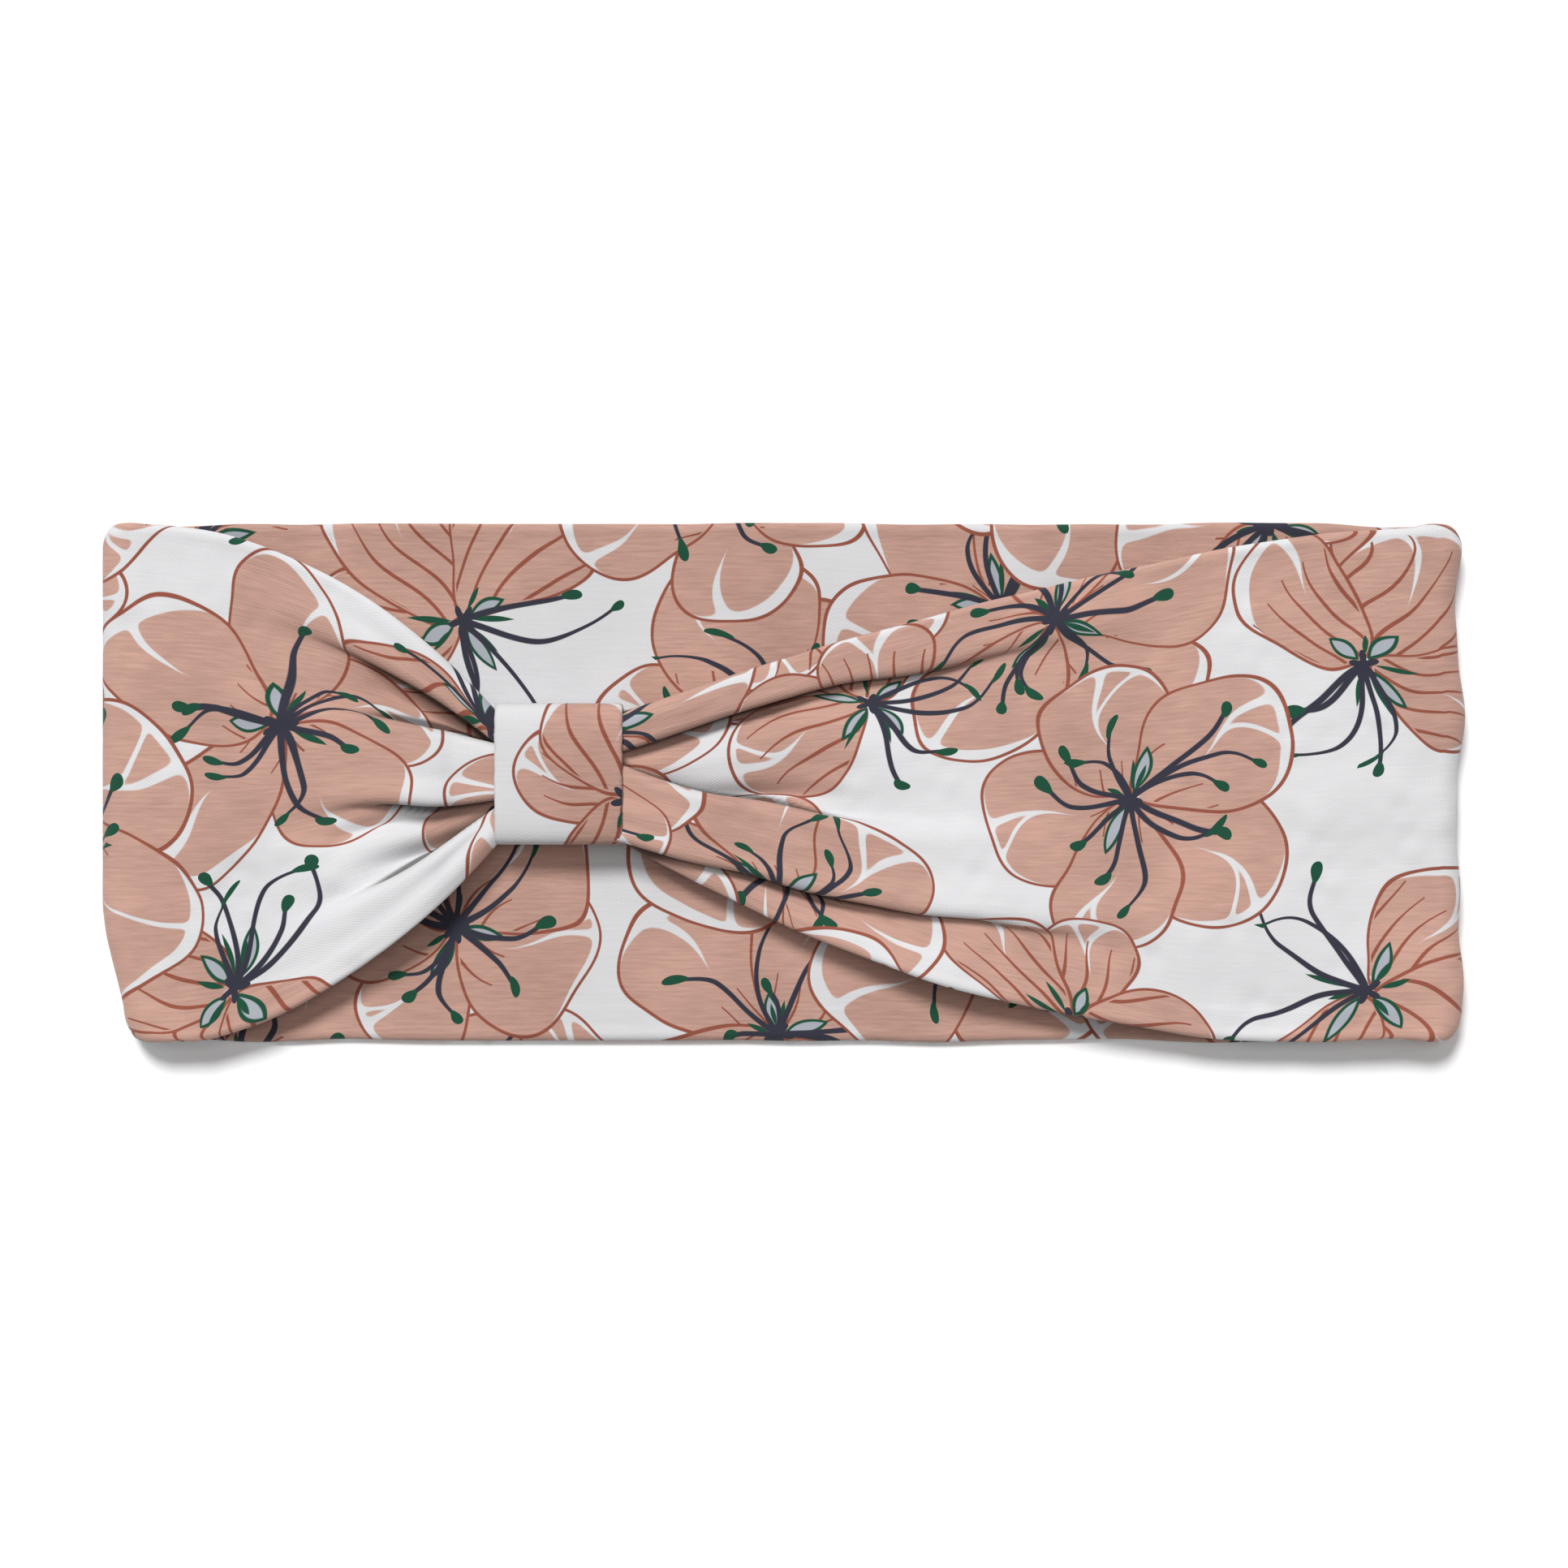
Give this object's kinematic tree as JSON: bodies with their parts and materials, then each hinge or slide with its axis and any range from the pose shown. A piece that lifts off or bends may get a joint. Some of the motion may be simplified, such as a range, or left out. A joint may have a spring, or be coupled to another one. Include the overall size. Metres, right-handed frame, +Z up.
{
  "type": "knotted headband",
  "caption": "Wide double-layer stretch jersey headband lying flat, its front gathered into a knot by a short fabric tab, with an all-over blossom print.",
  "frame": {"origin": "on the resting plane, under the centre of the flattened loop", "axes": "+X along the band from the end fold nearer the tab to the other, +Y across the band's width, +Z up through the flattened loop"},
  "size_m": [0.23, 0.088, 0.0128],
  "materials": {
    "printed_jersey": "matte brushed jersey, all-over blossom print on pale grey-white",
    "jersey_reverse": "matte jersey, unprinted reverse",
    "sewing_thread": "off-white polyester thread"
  },
  "bodies": {
    "band": {"back_panel_face_ply": "printed_jersey", "back_panel_lining_ply": "printed_jersey", "back_panel_seam_allowance": "jersey_reverse", "left_wing_face_ply": "printed_jersey", "left_wing_lining_ply": "printed_jersey", "left_wing_seam_allowance": "jersey_reverse", "right_wing_face_ply": "printed_jersey", "right_wing_lining_ply": "printed_jersey", "right_wing_seam_allowance": "jersey_reverse"},
    "knot": {"left_neck_face_ply": "printed_jersey", "left_neck_lining_ply": "printed_jersey", "right_neck_face_ply": "printed_jersey", "right_neck_lining_ply": "printed_jersey", "band_join_seam": "jersey_reverse", "tab_outer_ply": "printed_jersey", "tab_inner_ply": "jersey_reverse", "tab_closing_thread": "sewing_thread"}
  },
  "joints": [
    {"name": "loop_open", "type": "slide", "parent": "band", "child": "knot", "axis": [0, 0, 1], "range_m": [0, 0.035]}
  ]
}
